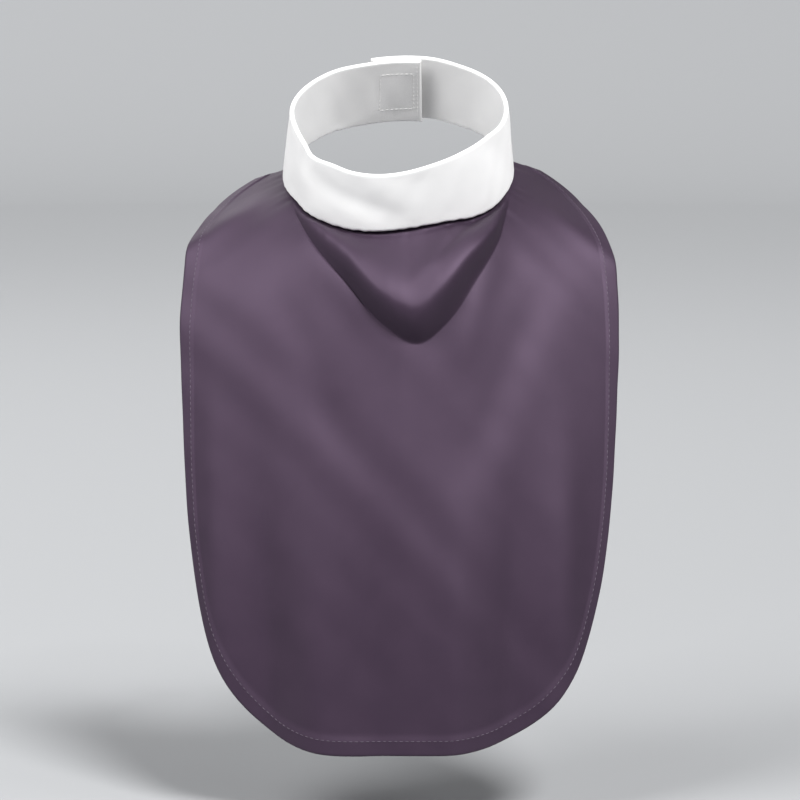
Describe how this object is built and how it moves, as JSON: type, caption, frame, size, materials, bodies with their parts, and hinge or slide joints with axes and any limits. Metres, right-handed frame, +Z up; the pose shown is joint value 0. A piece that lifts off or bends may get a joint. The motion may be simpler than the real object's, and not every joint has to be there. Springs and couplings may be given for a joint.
{
  "type": "clerical collar",
  "caption": "Stiff white band collar on a rounded dark cloth bib, worn round the neck over the chest and closed behind with a hook-and-loop patch.",
  "frame": {"origin": "centre of the neck opening at the band's lower edge, where the collar sits on the neck", "axes": "+Z up, -Y the way the wearer faces, +X towards the wearer's left; the band's own axis leans 23.3 degrees forwards and 2.5 degrees towards -X"},
  "size_m": [0.2377, 0.1901, 0.3611],
  "materials": {
    "white_cloth": "matt, closely woven and stiffened",
    "white_tape": "matt hook-and-loop tape",
    "charcoal_cloth": "smooth with a slight satin sheen"
  },
  "bodies": {
    "root": {"collar_band": "white_cloth", "back_fastener": "white_tape", "bib": "charcoal_cloth"}
  },
  "joints": []
}
